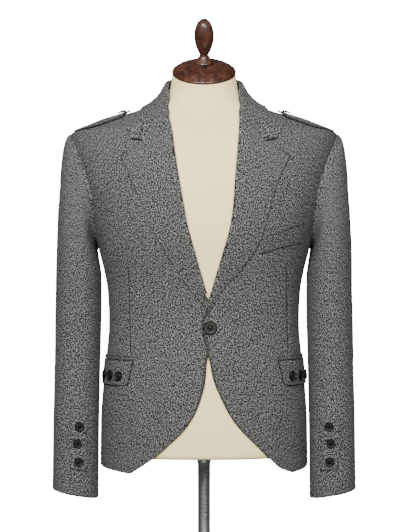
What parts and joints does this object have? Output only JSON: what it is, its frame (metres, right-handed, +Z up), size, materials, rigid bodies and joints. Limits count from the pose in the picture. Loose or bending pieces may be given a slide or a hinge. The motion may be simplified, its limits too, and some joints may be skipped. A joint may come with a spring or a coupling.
{
  "type": "tweed jacket on dress form",
  "caption": "Grey tweed single-breasted jacket with cutaway front, notched lapels, flap pockets and shoulder straps, on a dress form with a turned wooden top and a round base.",
  "frame": {"origin": "centre of the base plate's underside, on the floor", "axes": "+Z up, -Y the way the jacket faces, +X the wearer's left"},
  "size_m": [0.525, 0.33, 0.9424],
  "materials": {
    "tweed": "matte wool tweed, grey salt and pepper",
    "button": "dark horn-like resin",
    "form_cover": "smooth cream jersey",
    "wood": "turned wood, stained and varnished",
    "steel": "satin"
  },
  "bodies": {
    "root": {"front_left": "tweed", "front_right": "tweed", "back_left": "tweed", "back_right": "tweed", "lapel_left": "tweed", "lapel_right": "tweed", "collar": "tweed", "sleeve_left": "tweed", "sleeve_right": "tweed", "cuff_tab_left": "tweed", "cuff_tab_right": "tweed", "shoulder_strap_left": "tweed", "shoulder_strap_right": "tweed", "pocket_flap_left": "tweed", "pocket_flap_right": "tweed", "pocket_jet_left": "tweed", "pocket_jet_right": "tweed", "chest_welt": "tweed", "front_button": "button", "strap_button_left": "button", "strap_button_right": "button", "flap_button_left_1": "button", "flap_button_left_2": "button", "flap_button_left_3": "button", "flap_button_right_1": "button", "flap_button_right_2": "button", "flap_button_right_3": "button", "cuff_button_left_1": "button", "cuff_button_left_2": "button", "cuff_button_left_3": "button", "cuff_button_right_1": "button", "cuff_button_right_2": "button", "cuff_button_right_3": "button", "form_body": "form_cover", "neck_cap": "wood", "finial": "wood", "stand_pole": "steel", "stand_base": "steel"}
  },
  "joints": []
}
